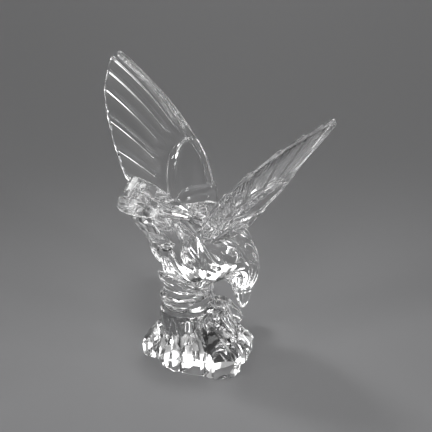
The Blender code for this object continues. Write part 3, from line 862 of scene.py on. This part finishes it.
def cast(pieces, name):
    """All forms joined into one closed surface."""
    first, others = pieces[0], pieces[1:]
    forms = bpy.data.collections.new("cast_forms")
    bpy.context.scene.collection.children.link(forms)
    for piece in others:
        bpy.context.scene.collection.objects.unlink(piece)
        forms.objects.link(piece)
    union = first.modifiers.new("cast_as_one", "BOOLEAN")
    union.operation = "UNION"
    union.solver = "MANIFOLD"
    union.operand_type = "COLLECTION"
    union.collection = forms
    bpy.context.view_layer.update()
    apply_modifiers(first)
    for piece in others:
        bpy.data.objects.remove(piece, do_unlink=True)
    bpy.data.collections.remove(forms)
    first.name = name
    first.data.name = name
    return first


def smooth_with_sharp_edges(mesh):
    mesh.shade_smooth()
    mesh.set_sharp_from_angle(angle=math.radians(SHARP_DEGREES))


def crystal():
    """Clear polished lead crystal with the faint waviness of a hand-finished casting."""
    material = bpy.data.materials.new("clear_crystal")
    material.use_nodes = True
    nodes = material.node_tree.nodes
    links = material.node_tree.links
    shader = nodes["Principled BSDF"]
    shader.inputs["Base Color"].default_value = (1.0, 1.0, 1.0, 1.0)
    shader.inputs["Metallic"].default_value = 0.0
    shader.inputs["IOR"].default_value = GLASS_IOR
    shader.inputs["Transmission Weight"].default_value = 1.0
    place = nodes.new("ShaderNodeTexCoord")
    polish = nodes.new("ShaderNodeTexNoise")
    polish.inputs["Scale"].default_value = POLISH_SCALE
    polish.inputs["Detail"].default_value = POLISH_DETAIL
    links.new(place.outputs["Object"], polish.inputs["Vector"])
    spread = nodes.new("ShaderNodeMapRange")
    spread.inputs["To Min"].default_value = 0.0
    spread.inputs["To Max"].default_value = MOST_ROUGHNESS
    links.new(polish.outputs["Fac"], spread.inputs["Value"])
    links.new(spread.outputs["Result"], shader.inputs["Roughness"])
    waves = nodes.new("ShaderNodeTexNoise")
    waves.inputs["Scale"].default_value = WAVE_SCALE
    waves.inputs["Detail"].default_value = WAVE_DETAIL
    links.new(place.outputs["Object"], waves.inputs["Vector"])
    bump = nodes.new("ShaderNodeBump")
    bump.inputs["Strength"].default_value = WAVE_STRENGTH
    bump.inputs["Distance"].default_value = WAVE_HEIGHT
    links.new(waves.outputs["Fac"], bump.inputs["Height"])
    links.new(bump.outputs["Normal"], shader.inputs["Normal"])
    return material


def build_eagle():
    pieces = [body(), bevelled_rock(), column()] + tail() + swellings() + face() + feet()
    for side in (1, -1):
        pieces += [blade(side), rim(side), coverts(side), scapulars(side)]
    eagle = cast(pieces, "carved_eagle")
    smooth_with_sharp_edges(eagle.data)
    eagle.data.materials.clear()
    eagle.data.materials.append(crystal())
    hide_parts("crystal_eagle")
    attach(eagle, "root")


def floor():
    """A plain pale floor, larger than any view."""
    mesh = bpy.data.meshes.new("floor")
    bm = bmesh.new()
    bmesh.ops.create_circle(bm, cap_ends=True, segments=FLOOR_SIDES, radius=FLOOR_RADIUS)
    bm.to_mesh(mesh)
    bm.free()
    obj = bpy.data.objects.new("floor", mesh)
    obj.location.z = -FLOOR_GAP
    bpy.context.scene.collection.objects.link(obj)
    material = bpy.data.materials.new("pale_floor")
    material.use_nodes = True
    shader = material.node_tree.nodes["Principled BSDF"]
    shader.inputs["Base Color"].default_value = FLOOR_COLOUR
    shader.inputs["Roughness"].default_value = FLOOR_ROUGHNESS
    mesh.materials.append(material)


def soft_light(name, place, target, width, height, power, spread):
    light = bpy.data.lights.new(name, "AREA")
    light.spread = math.radians(spread)
    light.shape = "RECTANGLE"
    light.size = width
    light.size_y = height
    light.energy = power
    obj = bpy.data.objects.new(name, light)
    bpy.context.scene.collection.objects.link(obj)
    obj.location = place
    obj.rotation_euler = (Vector(place) - Vector(target)).to_track_quat("Z", "Y").to_euler()
    obj.visible_camera = False


def lights():
    """A small softbox overhead and low panels all round, whose bright edges the facets catch."""
    soft_light(
        "overhead_softbox", OVERHEAD_PLACE, LIT_POINT,
        OVERHEAD_SIDE, OVERHEAD_SIDE, OVERHEAD_POWER, OVERHEAD_SPREAD,
    )
    for k, (degrees, distance, height, width, tall, spread, power) in enumerate(PANELS):
        angle = math.radians(degrees)
        place = Vector((distance * math.cos(angle), distance * math.sin(angle), height))
        soft_light("panel_%d" % (k + 1), place, LIT_POINT, width, tall, power, spread)


def studio_air():
    """A bright low band round the object, dim overhead, and all of it parted into soft windows."""
    world = bpy.data.worlds.new("studio")
    bpy.context.scene.world = world
    world.use_nodes = True
    nodes = world.node_tree.nodes
    links = world.node_tree.links
    place = nodes.new("ShaderNodeTexCoord")
    axes = nodes.new("ShaderNodeSeparateXYZ")
    links.new(place.outputs["Generated"], axes.inputs["Vector"])
    ramp = nodes.new("ShaderNodeValToRGB")
    stops = ramp.color_ramp.elements
    while len(stops) < len(AIR):
        stops.new(0.5)
    for stop, (height, light) in zip(stops, AIR):
        stop.position = height
        stop.color = (light, light, light, 1)
    links.new(axes.outputs["Z"], ramp.inputs["Fac"])
    heading = nodes.new("ShaderNodeMath")
    heading.operation = "ARCTAN2"
    links.new(axes.outputs["Y"], heading.inputs[0])
    links.new(axes.outputs["X"], heading.inputs[1])
    turns = nodes.new("ShaderNodeMath")
    turns.operation = "MULTIPLY"
    turns.inputs[1].default_value = AIR_WINDOWS
    links.new(heading.outputs[0], turns.inputs[0])
    wave = nodes.new("ShaderNodeMath")
    wave.operation = "SINE"
    links.new(turns.outputs[0], wave.inputs[0])
    windows = nodes.new("ShaderNodeMapRange")
    windows.interpolation_type = "SMOOTHSTEP"
    windows.inputs["From Min"].default_value = AIR_WINDOW_EDGES[0]
    windows.inputs["From Max"].default_value = AIR_WINDOW_EDGES[1]
    windows.inputs["To Min"].default_value = AIR_DARKEST
    windows.inputs["To Max"].default_value = 1.0
    links.new(wave.outputs[0], windows.inputs["Value"])
    links.new(windows.outputs["Result"], nodes["Background"].inputs["Strength"])
    links.new(ramp.outputs["Color"], nodes["Background"].inputs["Color"])


def camera():
    """Stands where the photograph was taken from."""
    pitch = math.radians(CAMERA_PITCH)
    turn = math.radians(CAMERA_TURN)
    right = Vector((math.cos(turn), -math.sin(turn), 0))
    away = Vector((math.sin(turn), math.cos(turn), 0))
    ahead = away * math.cos(pitch) + Vector((0, 0, -math.sin(pitch)))
    up = away * math.sin(pitch) + Vector((0, 0, math.cos(pitch)))
    centre = PHOTO_SIDE / 2
    ray = ahead + right * (ORIGIN_PX[0] - centre) / FOCAL_PX - up * (ORIGIN_PX[1] - centre) / FOCAL_PX
    place = -ray * DISTANCE
    data = bpy.data.cameras.new("photo_camera")
    data.sensor_width = SENSOR_WIDTH
    data.lens = FOCAL_PX / PHOTO_SIDE * data.sensor_width
    data.clip_start = CLIP_START
    obj = bpy.data.objects.new("photo_camera", data)
    bpy.context.scene.collection.objects.link(obj)
    obj.matrix_world = Matrix((
        (right.x, up.x, -ahead.x, place.x),
        (right.y, up.y, -ahead.y, place.y),
        (right.z, up.z, -ahead.z, place.z),
        (0, 0, 0, 1),
    ))
    bpy.context.scene.camera = obj


def light_paths():
    """Enough bounces for light to cross the many faces of the crystal."""
    cycles = bpy.context.scene.cycles
    cycles.max_bounces = GLASS_BOUNCES
    cycles.transmission_bounces = GLASS_BOUNCES
    cycles.glossy_bounces = GLOSSY_BOUNCES
    cycles.diffuse_bounces = FLOOR_BOUNCES


camera()
build_eagle()
floor()
lights()
studio_air()
light_paths()
bpy.context.scene.view_settings.view_transform = "Standard"
